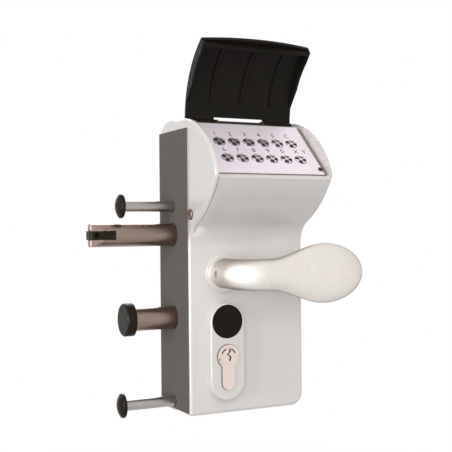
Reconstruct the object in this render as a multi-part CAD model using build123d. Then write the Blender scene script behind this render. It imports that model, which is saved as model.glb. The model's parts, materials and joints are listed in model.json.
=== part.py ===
from build123d import *
import os
from math import atan2, cos, degrees, radians, sin, sqrt

# A code lock for a gate post: push button keypad under a lid, lever handles on both faces,
# a key cylinder, a round fork ended latch and a deadbolt.
# Millimetres. X runs away from the post, Y from the front cover to the rear cover, Z up.
# X = 0 is the face that meets the post, Y = 0 the plane of the bolts and of the latch,
# Z = 0 lies midway between the two fixing bolts.

# General fits and clearances
RUNNING_FIT = 0.05  # radial clearance of a shaft in its bearing
FREE_GAP = 0.3  # gap round a piece that only passes through
SEAT_GAP = 0.1  # gap round a fixed piece in its seat
SCREW_DIAMETER = 4.0
SCREW_HEAD_DIAMETER = 7.5
SCREW_HEAD_HEIGHT = 2.4
PAST = 1.0  # how far a cut runs past the face that it opens

# Post that the lock is made for, not modelled
POST_WIDTH = 40.0

# Covers
WIDTH = 96.0  # post face to the right side
GASKET_THICKNESS = 1.2
COVER_DEPTH = 27.0  # outer face of each cover, from the latch plane
COVER_BOTTOM = -80.0
COVER_WALL = 2.6
CHEEK_THICKNESS = 2.9
CORNER_RADIUS = 10.0
RIM_RADIUS = 2.6
LEFT_RIM_RADIUS = 2.2
SEAM_WIDTH = 0.6  # groove between the left cheek and the flank
SEAM_DEPTH = 0.8
SEAM_TAIL = 2.0  # how far the groove runs below the flank
REAR_TOP_RADIUS = 18.0

# Bulge that carries the keypad, seen from the side
BULGE_CENTRE_Y = -11.2
BULGE_CENTRE_Z = 71.5
BULGE_RADIUS = 65.3
FLANK_FOOT_Z = 55.2
FLANK_MID_Y = -50.0
FLANK_MID_Z = 67.6
NOSE_Z = 93.6
NOSE_RADIUS = 7.0
FOOT_RADIUS = 18.0

# Keypad, on a plane that leans back
KEYPAD_TILT = 43.7
PLATE_FOOT_BACK = 3.65  # foot of the plate behind the nose
PLATE_FOOT_RISE = 0.7  # foot of the plate above the nose
PLATE_LENGTH = 54.2
PLATE_THICKNESS = 1.5
PLATE_SIDE_GAP = 0.9
KEY_PITCH = 11.9
KEY_MARGIN_LEFT = 13.5  # left cheek to the middle of the first key
KEY_MARGIN_RIGHT = 14.0  # least room from the last key's middle to the right cheek
KEY_ROW_LOW = 15.7
KEY_ROW_HIGH = 33.9
KEY_DIAMETER = 8.7
KEY_STEM_DIAMETER = 4.0
KEY_FLANGE_DIAMETER = 10.2
KEY_FLANGE_THICKNESS = 1.2
KEY_PROUD = 0.7
KEY_STROKE = 2.0
KEY_LOBES = 4
KEY_LOBE_DIAMETER = 3.5
KEY_LOBE_OFFSET = 2.9
KEY_LOBE_TURN = -22.0  # angle of the first lobe, in degrees from the row
KEY_LOBE_DEPTH = 1.3
CHASSIS_THICKNESS = 12.0
CHASSIS_MARGIN = 6.0
CHASSIS_LEG = 2.8
CHASSIS_SHOULDER = 4.0
LEG_MARGIN = 7.0
PLATE_SCREW_DIAMETER = 2.6
PLATE_SCREW_INSET_X = 3.2
PLATE_SCREW_INSET = 5.0
PLATE_SCREW_HEAD_HEIGHT = 0.6
KEY_SPRING_SOLID = 3.0  # length of a key's spring when it is fully pressed
KEY_SPRING_GAP = 1.0  # gap of a key's spring to its well and to its stem

# Lid, drawn shut and then swung open about its pin
LID_PROUD = 0.7  # how far the shut lid stands out of the bulge's round
LID_WALL = 2.2
LID_SIDE_GAP = 0.35
LID_FLANGE = 1.8
LID_FLANGE_DEPTH = 7.6
LID_PLATE_GAP = 0.8
LID_START = 98.4  # angle about the bulge centre, from the rear
LID_END = 152.6
LID_BOW = 3.4
LID_END_BAR = 3.2
LID_RIBS = 3
LID_RIB_PITCH = 25.2
LID_RIB_WIDTH = 1.8
LID_RIB_DEPTH = 1.2
LID_OPEN = 95.2
LID_BLEND = 1.0  # how far the pieces under the shell stop short of its ends, in degrees
HINGE_FRONT = 5.3  # pin's middle in front of the bulge's middle
HINGE_DROP = 2.2  # pin's middle below the top of the bulge
HINGE_BARREL = 2.3
HINGE_PIN = 2.0
HINGE_PIN_SEAT = 1.6  # depth of a pin's end in the cheek
HINGE_EAR = 2.4
BRACKET_BASE = 1.4
BRACKET_REAR = 2.6  # base behind the barrel
BRACKET_WALL = 1.4
BRACKET_DROP = 0.3  # rear wall of the bracket below the top of the cover
HINGE_SLOT_START = 27.6
HINGE_SLOT_END = 68.8

# Levers and spindle
BACKSET = 28.2
HANDLE_Z = 22.8
NECK_DIAMETER = 21.6
COLLAR_DIAMETER = 29.0
COLLAR_HEIGHT = 2.4
COLLAR_EDGE = 1.1
BUSH_DIAMETER = 25.6
BUSH_PROUD = 3.4
BUSH_DEPTH = 7.0
BUSH_EDGE = 0.6
LEVER_PLANE = 67.0  # distance of the grip's middle from the latch plane
ELBOW_RADIUS = 17.0
LEVER_NECK_HEIGHT = 22.4
LEVER_NECK_DEPTH = 15.0
PADDLE_X = 90.0
PADDLE_HEIGHT = 43.4
PADDLE_DEPTH = 13.0
PADDLE_TIP = 33.4
ELBOW_STEPS = 4
PADDLE_STEPS = 5
TIP_ANGLES = (15, 30, 45, 58, 70, 80)
SPINDLE = 8.0
SPINDLE_HALF = 48.0
GRUB_DIAMETER = 5.0
GRUB_LENGTH = 5.0
GRUB_Y = 37.0
HUB_DIAMETER = 18.0
HUB_HALF = 13.0
HUB_ARM_WIDTH = 8.0
HUB_ARM_THICKNESS = 5.0

# Latch
LATCH_Z = 51.5
LATCH_DIAMETER = 16.8
LATCH_TIP_X = -64.8
LATCH_TAIL_X = 6.0
LATCH_THROW = 20.0
FORK_SLOT = 6.6
FORK_DEPTH = 17.5
FORK_BEVEL = 10.5
FORK_NOSE_HALF = 3.4
INSERT_LENGTH = 17.0
INSERT_HALF_DEPTH = 6.3
INSERT_PROUD = 1.0
INSERT_PIN = 2.5
INSERT_HOLE = 3.6
INSERT_HOLE_FROM_NOSE = 4.6
INSERT_PIN_FROM_ROOT = 5.5
INSERT_NOSE_RADIUS = 3.0
JAW_EDGE = 0.8
GUIDE_WALL = 2.2
GUIDE_LENGTH = 9.0
GUIDE_FLANGE = 1.6
GUIDE_FLANGE_MARGIN = 1.5
TAIL_THICKNESS = 3.0
TAIL_HEIGHT = 10.0
TAIL_Y = 3.4
TAIL_SINK = 8.0  # length of the tail let into the latch
LATCH_SPRING_SOLID = 6.0  # length of the spring when it is fully pressed
LUG_DROP = 4.0
LUG_THICKNESS = 5.0
SPRING_OUTER = 9.0
SPRING_INNER = 6.4

# Deadbolt, drawn back until its nose is flush with the far side of the post
DEADBOLT_Z = -10.3
DEADBOLT_DIAMETER = 17.0
DEADBOLT_NOSE_DIAMETER = 24.0
DEADBOLT_NOSE_LENGTH = 7.0
DEADBOLT_THROW = 20.0
DEADBOLT_STUB = 4.0  # length of the spigot that the nose is pushed on
DEADBOLT_TAIL_X = 60.0
DEADBOLT_TAIL_HEIGHT = 17.0
DEADBOLT_TAIL_THICKNESS = 8.0

# Key cylinder of the common profile
CYLINDER_BELOW_HANDLE = 60.0
CYLINDER_DIAMETER = 17.0
CYLINDER_WEB = 10.0
CYLINDER_HEIGHT = 33.0
CYLINDER_HALF = 35.0
CAM_SLOT = 10.4
CAM_WIDTH = 9.6
CAM_REACH = 15.0
CAM_LOBE = 7.0
PLUG_DIAMETER = 13.0
PLUG_PROUD = 0.3
PLUG_ARC_RADIUS = 5.6  # sunk arcs in the plug's face
PLUG_ARC_WIDTH = 0.9
PLUG_ARC_DEPTH = 0.6
PLUG_ARCS = ((22, 68), (108, 158))  # from and to, in degrees from the right
PIN_MARK_DIAMETER = 1.1  # small hole beside the plug
PIN_MARK_RADIUS = 7.4
PIN_MARK_ANGLE = 196
KEYWAY_DEPTH = 18.0
KEYWAY_WIDTH = 1.3
KEYWAY_BENDS = ((0.9, 5.4), (1.1, 3.2), (-0.9, 1.5), (1.5, -0.2), (0.9, -3.4))
CYLINDER_SCREW_DROP = 20.0
CYLINDER_SCREW_DIAMETER = 5.0

# Raised boss round the cylinder, and the blank plug above it
BOSS_RADIUS = 14.4
BOSS_HEIGHT = 7.0
BOSS_TAPER = 5.0
BOSS_OFFSET = 0.3  # the boss's middle, to the right of the cylinder
BOSS_EDGE = 1.3
BOSS_TOP = 2.1
BOSS_BOTTOM = -70.1
BLANK_DIAMETER = 24.4
BLANK_Z = -12.0
BLANK_THICKNESS = 3.0
BLANK_RIM = 4.0
BLANK_SKIRT = 1.5
BLANK_EDGE = 0.5

# Mechanism case
CASE_HALF = 11.0
CASE_WIDTH = 74.0
CASE_BOTTOM = -77.0
CASE_TOP = 90.0
CASE_WALL = 2.0
CASE_FACE = 3.0
NUT_BOSS_DIAMETER = 14.0
NUT_BOSS_LENGTH = 18.0

# Fixing bolts through the post, with domed caps
BOLT_SPACING = 145.0
BOLT_DIAMETER = 8.0
BOLT_THREAD_DIAMETER = 7.8
BOLT_HEAD_DIAMETER = 13.0
BOLT_HEAD_HEIGHT = 2.6
BOLT_END_X = 20.0
CAP_DIAMETER = 17.5
CAP_HEIGHT = 4.6
CAP_EDGE = 1.6

# Cover screws
COVER_SCREW_HEIGHTS = (-64.0, 40.0)
COVER_SCREW_TOP_Z = 112.0
COVER_POST_DIAMETER = 9.6
COVER_POST_FRONT = 24.0
COVER_POST_TOP_FRONT = 20.0
POST_SINK = 0.6
SIDE_SCREW_Y = -30.4
SIDE_SCREW_Z = 66.0
SIDE_SCREW_HEAD = 8.0
SIDE_SCREW_HEAD_HEIGHT = 1.4
CROSS_LENGTH = 4.0
CROSS_WIDTH = 1.0
CROSS_DEPTH = 0.7
GASKET_MARGIN = 2.0
GASKET_TOP_MARGIN = 8.0

# Places worked out from the sizes above
CYLINDER_Z = HANDLE_Z - CYLINDER_BELOW_HANDLE
COVER_LEFT = GASKET_THICKNESS
CHEEK_LEFT = COVER_LEFT + CHEEK_THICKNESS
CHEEK_RIGHT = WIDTH - CHEEK_THICKNESS
COVER_TOP = BULGE_CENTRE_Z + BULGE_RADIUS
NOSE_Y = BULGE_CENTRE_Y - sqrt(BULGE_RADIUS**2 - (NOSE_Z - BULGE_CENTRE_Z) ** 2)
PLATE_FOOT_Y = NOSE_Y + PLATE_FOOT_BACK
PLATE_FOOT_Z = NOSE_Z + PLATE_FOOT_RISE
KEY_FIRST_X = CHEEK_LEFT + KEY_MARGIN_LEFT
KEY_COLUMNS = int((CHEEK_RIGHT - KEY_MARGIN_RIGHT - KEY_FIRST_X) / KEY_PITCH) + 1
LID_RADIUS = BULGE_RADIUS + LID_PROUD
HINGE_Y = BULGE_CENTRE_Y - HINGE_FRONT
HINGE_Z = COVER_TOP - HINGE_DROP
BOLT_Z = BOLT_SPACING / 2
FAR_SIDE = -POST_WIDTH
CASE_INNER = CASE_HALF - CASE_WALL
TAIL_END_X = CASE_WIDTH - CASE_WALL - LATCH_THROW - LATCH_SPRING_SOLID
BIG = 400.0

parts = {}


def span(low, high):
    """Middle and length of a range."""
    return (low + high) / 2, high - low


def box(x, y, z):
    """Block between two limits on each axis."""
    (mx, dx), (my, dy), (mz, dz) = span(*x), span(*y), span(*z)
    return Pos(mx, my, mz) * Box(dx, dy, dz)


def rod_x(x, y, z, diameter):
    mx, dx = span(*x)
    return Pos(mx, y, z) * Rot(0, 90, 0) * Cylinder(diameter / 2, dx)


def rod_y(y, x, z, diameter):
    my, dy = span(*y)
    return Pos(x, my, z) * Rot(90, 0, 0) * Cylinder(diameter / 2, dy)


def rod_z(z, x, y, diameter):
    mz, dz = span(*z)
    return Pos(x, y, mz) * Cylinder(diameter / 2, dz)


def side_extrude(face, x):
    """A face drawn in (Y, Z) and pushed along X between two limits."""
    return extrude(Plane.YZ.offset(x[0]) * face, amount=x[1] - x[0])


def front_extrude(face, y_start, length, taper=0.0):
    """A face drawn in (X, Z) and pushed towards the front from y_start."""
    plane = Plane(origin=(0, y_start, 0), x_dir=(1, 0, 0), z_dir=(0, -1, 0))
    return extrude(plane * face, amount=length, taper=taper)


def on_circle(radius, angle):
    """A point (Y, Z) at an angle about the bulge centre, from the rear over the top."""
    turn = radians(angle)
    return BULGE_CENTRE_Y + radius * cos(turn), BULGE_CENTRE_Z + radius * sin(turn)


def keypad_plane():
    tilt = radians(KEYPAD_TILT)
    return Plane(
        origin=(0, PLATE_FOOT_Y, PLATE_FOOT_Z),
        x_dir=(1, 0, 0),
        z_dir=(0, -sin(tilt), cos(tilt)),
    )


KEYPAD = keypad_plane()


def keypad_box(x, along, height):
    """Block in the keypad's own directions: across, up the slope and out of the plate."""
    return KEYPAD * box(x, along, height)


def keypad_rod(x, along, height, diameter):
    mh, dh = span(*height)
    return KEYPAD * Pos(x, along, mh) * Cylinder(diameter / 2, dh)


def key_places():
    """Column and row places of the keys, low row last."""
    columns = [KEY_FIRST_X + i * KEY_PITCH for i in range(KEY_COLUMNS)]
    return [(x, row) for row in (KEY_ROW_HIGH, KEY_ROW_LOW) for x in columns]


def plate_screw_place():
    """Lower right corner of the plate, the only one with a screw."""
    return CHEEK_RIGHT - PLATE_SIDE_GAP - PLATE_SCREW_INSET_X, PLATE_SCREW_INSET


def ring_sector(outer, inner, start, end):
    """Part of a flat ring between two angles, in degrees."""
    def at(radius, angle):
        return radius * cos(radians(angle)), radius * sin(radians(angle))

    middle = (start + end) / 2
    lines = [
        ThreePointArc(*[at(outer, a) for a in (start, middle, end)]),
        Line(at(outer, end), at(inner, end)),
        ThreePointArc(*[at(inner, a) for a in (end, middle, start)]),
        Line(at(inner, start), at(outer, start)),
    ]
    return make_face(Curve() + lines)


def bulge_side_face():
    """Side outline of the front cover, from the latch plane forward."""
    nose_angle = degrees(atan2(NOSE_Z - BULGE_CENTRE_Z, NOSE_Y - BULGE_CENTRE_Y))
    arc_mid = on_circle(BULGE_RADIUS, (90 + nose_angle) / 2)
    foot = (-COVER_DEPTH, FLANK_FOOT_Z)
    nose = (NOSE_Y, NOSE_Z)
    top = (BULGE_CENTRE_Y, COVER_TOP)
    lines = [
        Line((0, COVER_BOTTOM), (-COVER_DEPTH, COVER_BOTTOM)),
        Line((-COVER_DEPTH, COVER_BOTTOM), foot),
        ThreePointArc(foot, (FLANK_MID_Y, FLANK_MID_Z), nose),
        ThreePointArc(nose, arc_mid, top),
        Line(top, (0, COVER_TOP)),
        Line((0, COVER_TOP), (0, COVER_BOTTOM)),
    ]
    face = make_face(Curve() + lines)
    face = fillet(face.vertices().sort_by_distance((NOSE_Y, NOSE_Z, 0))[:1], NOSE_RADIUS)
    foot_corner = face.vertices().sort_by_distance((foot[0], foot[1], 0))[:1]
    return fillet(foot_corner, FOOT_RADIUS)


def stadium(x, low, high, radius):
    """Slot shape standing on end, drawn in (X, Z)."""
    height = high - low
    return Pos(x, (low + high) / 2) * Rot(0, 0, 90) * SlotOverall(height, 2 * radius)


def cylinder_face(grow=0.0):
    """Profile of the key cylinder in (X, Z), grown all round for its hole."""
    foot = CYLINDER_Z + CYLINDER_DIAMETER / 2 - CYLINDER_HEIGHT
    radius = CYLINDER_WEB / 2 + grow
    web = stadium(BACKSET, foot - grow, CYLINDER_Z, radius)
    return web + Pos(BACKSET, CYLINDER_Z) * Circle(CYLINDER_DIAMETER / 2 + grow)


def boss():
    """Raised boss round the cylinder, for the front; its foot sinks into the cover wall."""
    face = stadium(BACKSET + BOSS_OFFSET, BOSS_BOTTOM, BOSS_TOP, BOSS_RADIUS)
    body = front_extrude(face, -COVER_DEPTH + COVER_WALL, BOSS_HEIGHT + COVER_WALL, BOSS_TAPER)
    rim = body.faces().sort_by(Axis.Y)[0].edges()
    return fillet(rim, BOSS_EDGE)


def collar():
    """Raised ring round the lever's bush."""
    start = -COVER_DEPTH - COLLAR_HEIGHT
    ring = rod_y((start, -COVER_DEPTH + COVER_WALL), BACKSET, HANDLE_Z, COLLAR_DIAMETER)
    return fillet(ring.faces().sort_by(Axis.Y)[0].edges(), COLLAR_EDGE)


def cover_openings():
    """What both covers are cut with round the cylinder, the blank plug and the bush."""
    reach = (-COVER_DEPTH - BOSS_HEIGHT - PAST, -COVER_DEPTH + BLANK_RIM + PAST)
    key_hole = front_extrude(cylinder_face(FREE_GAP), reach[1], reach[1] - reach[0])
    plug_hole = rod_y(reach, BACKSET, BLANK_Z, BLANK_DIAMETER + 2 * SEAT_GAP)
    bush_hole = rod_y(reach, BACKSET, HANDLE_Z, BUSH_DIAMETER)
    case_notch = box(
        (COVER_LEFT - PAST, COVER_LEFT + COVER_WALL + PAST),
        (-CASE_HALF - FREE_GAP, PAST),
        (CASE_BOTTOM - FREE_GAP, CASE_TOP + FREE_GAP),
    )
    return key_hole + plug_hole + bush_hole + case_notch


def boss_backing():
    """Thick wall behind the boss, so that the plug and the cylinder have depth to sit in."""
    face = stadium(BACKSET + BOSS_OFFSET, BOSS_BOTTOM, BOSS_TOP, BOSS_RADIUS)
    return front_extrude(face, -COVER_DEPTH + BLANK_RIM, BLANK_RIM)


def cover_screw_places():
    """Two screws down the right wall, and one near the top of each side wall."""
    inset = COVER_WALL + COVER_POST_DIAMETER / 2 - POST_SINK
    left, right = COVER_LEFT + inset, WIDTH - inset
    low = [(right, z) for z in COVER_SCREW_HEIGHTS]
    return low + [(left, COVER_SCREW_TOP_Z), (right, COVER_SCREW_TOP_Z)]


def cover_posts(low_end, high_end, rear):
    """Screw posts along the side walls, from the rear limit to each one's own front end."""
    posts = Part()
    for x, z in cover_screw_places():
        front = high_end if z == COVER_SCREW_TOP_Z else low_end
        posts += rod_y((front, rear), x, z, COVER_POST_DIAMETER)
    return posts


def cover_post_holes(y, diameter):
    holes = Part()
    for x, z in cover_screw_places():
        holes += rod_y(y, x, z, diameter)
    return holes


def is_rim(edge, x):
    """Outer edges of a cover along one side, but not those where the covers meet."""
    box_ = edge.bounding_box()
    return abs(box_.min.X - x) < 0.01 and abs(box_.max.X - x) < 0.01 and abs(edge.center().Y) > 0.5


def right_corner(solid):
    """Lower right corner edge of a cover, along Y."""
    def near(edge):
        place = edge.center()
        return abs(place.X - WIDTH) < 0.01 and abs(place.Z - COVER_BOTTOM) < 0.01
    return solid.edges().filter_by(Axis.Y).filter_by(near)


def front_cover():
    face = bulge_side_face()
    outer = side_extrude(face, (COVER_LEFT, WIDTH))
    outer = fillet(right_corner(outer), CORNER_RADIUS)
    outer = fillet(outer.edges().filter_by(lambda e: is_rim(e, WIDTH)), RIM_RADIUS)
    outer = fillet(outer.edges().filter_by(lambda e: is_rim(e, COVER_LEFT)), LEFT_RIM_RADIUS)

    cavity = side_extrude(
        offset(face, amount=-COVER_WALL, kind=Kind.INTERSECTION),
        (COVER_LEFT + COVER_WALL, WIDTH - COVER_WALL),
    )
    cavity += box(
        (COVER_LEFT + COVER_WALL, WIDTH - COVER_WALL),
        (-COVER_DEPTH + COVER_WALL, PAST),
        (COVER_BOTTOM + COVER_WALL, COVER_TOP - COVER_WALL),
    )
    floor = -PLATE_THICKNESS - COVER_WALL
    cavity -= keypad_box((-BIG, BIG), (-BIG, BIG), (floor, BIG))
    cavity += box(
        (COVER_LEFT + COVER_WALL, WIDTH - COVER_WALL),
        (-COVER_DEPTH / 2, PAST),
        (CASE_TOP, COVER_TOP - COVER_WALL),
    )
    cavity -= hinge_seat(COVER_WALL, (COVER_LEFT, WIDTH))

    cover = outer - cavity + boss_backing() + boss() + collar()
    cover += cover_posts(-COVER_POST_FRONT, -COVER_POST_TOP_FRONT, 0)
    cover -= keypad_box((CHEEK_LEFT, CHEEK_RIGHT), (-BIG, PLATE_LENGTH), (-PLATE_THICKNESS, BIG))
    cover -= keypad_box((CHEEK_LEFT, CHEEK_RIGHT), (0, PLATE_LENGTH + COVER_WALL), (0, BIG))
    cover -= hinge_seat(0.0, (CHEEK_LEFT, CHEEK_RIGHT))
    cover -= keypad_box(
        chassis_span(SEAT_GAP),
        (CHASSIS_MARGIN - SEAT_GAP, PLATE_LENGTH - CHASSIS_MARGIN + SEAT_GAP),
        (floor - PAST, 0),
    )
    cover -= keypad_rod(*plate_screw_place(), (floor - PAST, 0), PLATE_SCREW_DIAMETER)
    cover -= hinge_pins()
    cover -= cheek_seam((CHEEK_LEFT, CHEEK_LEFT + SEAM_WIDTH))
    cover -= cover_openings()
    cover -= cover_post_holes((-COVER_POST_TOP_FRONT + COVER_WALL, PAST), SCREW_DIAMETER)
    wall = COVER_WALL + PAST
    for x in ((COVER_LEFT - PAST, COVER_LEFT + wall), (WIDTH - wall, WIDTH + PAST)):
        cover -= rod_x(x, SIDE_SCREW_Y, SIDE_SCREW_Z, SCREW_DIAMETER + 2 * SEAT_GAP)
    return cover


def cheek_seam(x):
    """Fine groove down the front of the bulge, where the left cheek meets the flank."""
    face = bulge_side_face()
    skin = face - offset(face, amount=-SEAM_DEPTH, kind=Kind.INTERSECTION)
    zone = box(x, (-BIG, -COVER_DEPTH / 2), (FLANK_FOOT_Z - SEAM_TAIL, PLATE_FOOT_Z))
    return side_extrude(skin, x) & zone


def hinge_seat(grow, x):
    """Pocket across the top of the bulge that the hinge bracket sits in."""
    front, rear, floor = bracket_limits()
    return box(x, (front - FREE_GAP - grow, rear + grow), (floor - grow, COVER_TOP + PAST))


def bracket_limits():
    """Front and rear of the hinge bracket, and its underside."""
    tilt = radians(KEYPAD_TILT)
    front = PLATE_FOOT_Y + PLATE_LENGTH * cos(tilt) + PLATE_THICKNESS * sin(tilt)
    rear = HINGE_Y + HINGE_BARREL + BRACKET_REAR
    floor = HINGE_Z - HINGE_BARREL - FREE_GAP - BRACKET_BASE
    return front, rear, floor


def chassis_span(grow):
    left = CHEEK_LEFT + CHASSIS_MARGIN - grow
    return left, CHEEK_RIGHT - CHASSIS_MARGIN + grow


def rear_cover():
    y = (0, COVER_DEPTH)
    outer = box((COVER_LEFT, WIDTH), y, (COVER_BOTTOM, COVER_TOP))
    outer = fillet(right_corner(outer), CORNER_RADIUS)
    top_edge = outer.edges().filter_by(Axis.X).sort_by(Axis.Z)[-2:].sort_by(Axis.Y)[-1:]
    outer = fillet(top_edge, REAR_TOP_RADIUS)
    outer = fillet(outer.edges().filter_by(lambda e: is_rim(e, WIDTH)), RIM_RADIUS)
    cavity = box(
        (COVER_LEFT + COVER_WALL, WIDTH - COVER_WALL),
        (-PAST, COVER_DEPTH - COVER_WALL),
        (COVER_BOTTOM + COVER_WALL, COVER_TOP - COVER_WALL),
    )
    cavity_top = cavity.edges().filter_by(Axis.X).sort_by(Axis.Z)[-2:].sort_by(Axis.Y)[-1:]
    cavity = fillet(cavity_top, REAR_TOP_RADIUS - COVER_WALL)
    cover = outer - cavity
    cover += mirror(boss_backing() + boss() + collar(), about=Plane.XZ)
    cover += cover_posts(0, 0, COVER_DEPTH - COVER_WALL / 2)
    cover -= mirror(cover_openings(), about=Plane.XZ)
    cover -= cover_post_holes((-PAST, COVER_DEPTH + PAST), SCREW_DIAMETER + 2 * SEAT_GAP)
    head_seat = (COVER_DEPTH - SCREW_HEAD_HEIGHT, COVER_DEPTH + PAST)
    cover -= cover_post_holes(head_seat, SCREW_HEAD_DIAMETER + 2 * SEAT_GAP)
    return cover


def mounting_gasket():
    """Thin seal between the post and the lock, pierced for what passes into the post."""
    sheet = box(
        (0, GASKET_THICKNESS),
        (-COVER_DEPTH + GASKET_MARGIN, COVER_DEPTH - GASKET_MARGIN),
        (COVER_BOTTOM + GASKET_MARGIN, COVER_TOP - GASKET_TOP_MARGIN),
    )
    x = (-PAST, GASKET_THICKNESS + PAST)
    for z in (-BOLT_Z, BOLT_Z):
        sheet -= rod_x(x, 0, z, BOLT_DIAMETER + 2 * FREE_GAP)
    sheet -= rod_x(x, 0, LATCH_Z, LATCH_DIAMETER + 2 * FREE_GAP)
    sheet -= rod_x(x, 0, DEADBOLT_Z, DEADBOLT_DIAMETER + 2 * FREE_GAP)
    return sheet


def lock_case():
    """Steel tray that holds the mechanism, open at the rear."""
    tray = box((COVER_LEFT, CASE_WIDTH), (-CASE_HALF, CASE_INNER), (CASE_BOTTOM, CASE_TOP))
    tray -= box(
        (COVER_LEFT + CASE_FACE, CASE_WIDTH - CASE_WALL),
        (-CASE_INNER, CASE_HALF),
        (CASE_BOTTOM + CASE_WALL, CASE_TOP - CASE_WALL),
    )
    boss_x = (COVER_LEFT, COVER_LEFT + CASE_FACE + NUT_BOSS_LENGTH)
    boss_z = NUT_BOSS_DIAMETER / 2
    for z in (-BOLT_Z, BOLT_Z):
        block = box(boss_x, (-CASE_HALF, CASE_INNER), (z - boss_z, z + boss_z))
        tray += block & box((0, WIDTH), (-BIG, BIG), (CASE_BOTTOM, CASE_TOP))
    for z in (-BOLT_Z, BOLT_Z):
        tray -= rod_x((0, boss_x[1] + PAST), 0, z, BOLT_THREAD_DIAMETER)
    tray -= guide_holes()
    x = (0, COVER_LEFT + CASE_FACE + PAST)
    tray -= rod_x(x, 0, CYLINDER_Z - CYLINDER_SCREW_DROP, CYLINDER_SCREW_DIAMETER + 2 * SEAT_GAP)
    head = (0, COVER_LEFT + SCREW_HEAD_HEIGHT / 2)
    tray -= rod_x(head, 0, CYLINDER_Z - CYLINDER_SCREW_DROP, 2 * CYLINDER_SCREW_DIAMETER)
    tray -= case_holes((-CASE_HALF - PAST, -CASE_INNER + PAST))
    return tray


def guide_holes():
    """Round holes of the two guide bushes, as deep as the bushes."""
    x = (0, COVER_LEFT + GUIDE_LENGTH)
    latch = rod_x(x, 0, LATCH_Z, LATCH_DIAMETER + 2 * GUIDE_WALL)
    return latch + rod_x(x, 0, DEADBOLT_Z, DEADBOLT_DIAMETER + 2 * GUIDE_WALL)


def case_holes(y):
    """Holes for the spindle hub and the key cylinder in one wall of the case."""
    hub = rod_y(y, BACKSET, HANDLE_Z, HUB_DIAMETER + 2 * RUNNING_FIT)
    key = front_extrude(cylinder_face(SEAT_GAP), y[1], y[1] - y[0])
    return hub + key


def case_cover():
    plate = box((COVER_LEFT, CASE_WIDTH), (CASE_INNER, CASE_HALF), (CASE_BOTTOM, CASE_TOP))
    return plate - case_holes((CASE_INNER - PAST, CASE_HALF + PAST)) - guide_holes()


def keypad_plate():
    plate = keypad_box(
        (CHEEK_LEFT + PLATE_SIDE_GAP, CHEEK_RIGHT - PLATE_SIDE_GAP),
        (0, PLATE_LENGTH - SEAT_GAP),
        (-PLATE_THICKNESS, 0),
    )
    through = (-PLATE_THICKNESS - PAST, PAST)
    for x, row in key_places():
        plate -= keypad_rod(x, row, through, KEY_DIAMETER + 2 * FREE_GAP)
    return plate - keypad_rod(*plate_screw_place(), through, PLATE_SCREW_DIAMETER)


def key_levels():
    """Heights in the keypad's frame: flange top, flange foot, well floor and chassis foot."""
    flange_top = -PLATE_THICKNESS
    flange_foot = flange_top - KEY_FLANGE_THICKNESS
    well_floor = flange_foot - KEY_STROKE - KEY_SPRING_SOLID
    return flange_top, flange_foot, well_floor, -PLATE_THICKNESS - CHASSIS_THICKNESS


def keypad_chassis():
    """Block that guides the keys, with a leg down each side to the side screws."""
    _, _, well_floor, foot = key_levels()
    block = keypad_box(
        chassis_span(0.0),
        (CHASSIS_MARGIN, PLATE_LENGTH - CHASSIS_MARGIN),
        (foot, -PLATE_THICKNESS),
    )
    inner_left = COVER_LEFT + COVER_WALL
    inner_right = WIDTH - COVER_WALL
    along = (2 * CHASSIS_MARGIN, PLATE_LENGTH - 2 * CHASSIS_MARGIN)
    block += keypad_box((inner_left, inner_right), along, (foot, foot + CHASSIS_SHOULDER))
    for x, row in key_places():
        block -= keypad_rod(x, row, (well_floor, PAST), KEY_FLANGE_DIAMETER + 2 * FREE_GAP)
        block -= keypad_rod(x, row, (foot - PAST, PAST), KEY_STEM_DIAMETER + 2 * RUNNING_FIT)
    for x in ((inner_left, inner_left + CHASSIS_LEG), (inner_right - CHASSIS_LEG, inner_right)):
        leg = keypad_box(x, along, (foot - BIG, foot + CHASSIS_SHOULDER))
        leg &= box(x, (-BIG, SIDE_SCREW_Y + LEG_MARGIN), (SIDE_SCREW_Z - LEG_MARGIN, BIG))
        leg &= flank_clear(x)
        block += leg - rod_x((x[0] - PAST, x[1] + PAST), SIDE_SCREW_Y, SIDE_SCREW_Z, SCREW_DIAMETER)
    return block


def flank_clear(x):
    """Room inside the bulge, a little clear of its wall."""
    face = offset(bulge_side_face(), amount=-COVER_WALL - SEAT_GAP, kind=Kind.INTERSECTION)
    return side_extrude(face, x)


def key_button(x, row):
    """Round key: head with four sunk lobes that leave a cross, flange below the plate, stem."""
    flange_top, flange_foot, _, foot = key_levels()
    key = keypad_rod(x, row, (flange_foot, KEY_PROUD), KEY_DIAMETER)
    key += keypad_rod(x, row, (flange_foot, flange_top), KEY_FLANGE_DIAMETER)
    key += keypad_rod(x, row, (foot - KEY_STROKE, flange_foot), KEY_STEM_DIAMETER)
    for i in range(KEY_LOBES):
        angle = radians(KEY_LOBE_TURN + i * 360 / KEY_LOBES)
        key -= keypad_rod(
            x + KEY_LOBE_OFFSET * cos(angle),
            row + KEY_LOBE_OFFSET * sin(angle),
            (KEY_PROUD - KEY_LOBE_DEPTH, KEY_PROUD + PAST),
            KEY_LOBE_DIAMETER,
        )
    return key


def button_springs():
    """One spring under each key, as the sleeve that the coils fill."""
    _, flange_foot, well_floor, _ = key_levels()
    height = (well_floor, flange_foot)
    springs = Part()
    for x, row in key_places():
        outer = keypad_rod(x, row, height, KEY_FLANGE_DIAMETER - 2 * KEY_SPRING_GAP)
        springs += outer - keypad_rod(x, row, height, KEY_STEM_DIAMETER + 2 * KEY_SPRING_GAP)
    return springs


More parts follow.
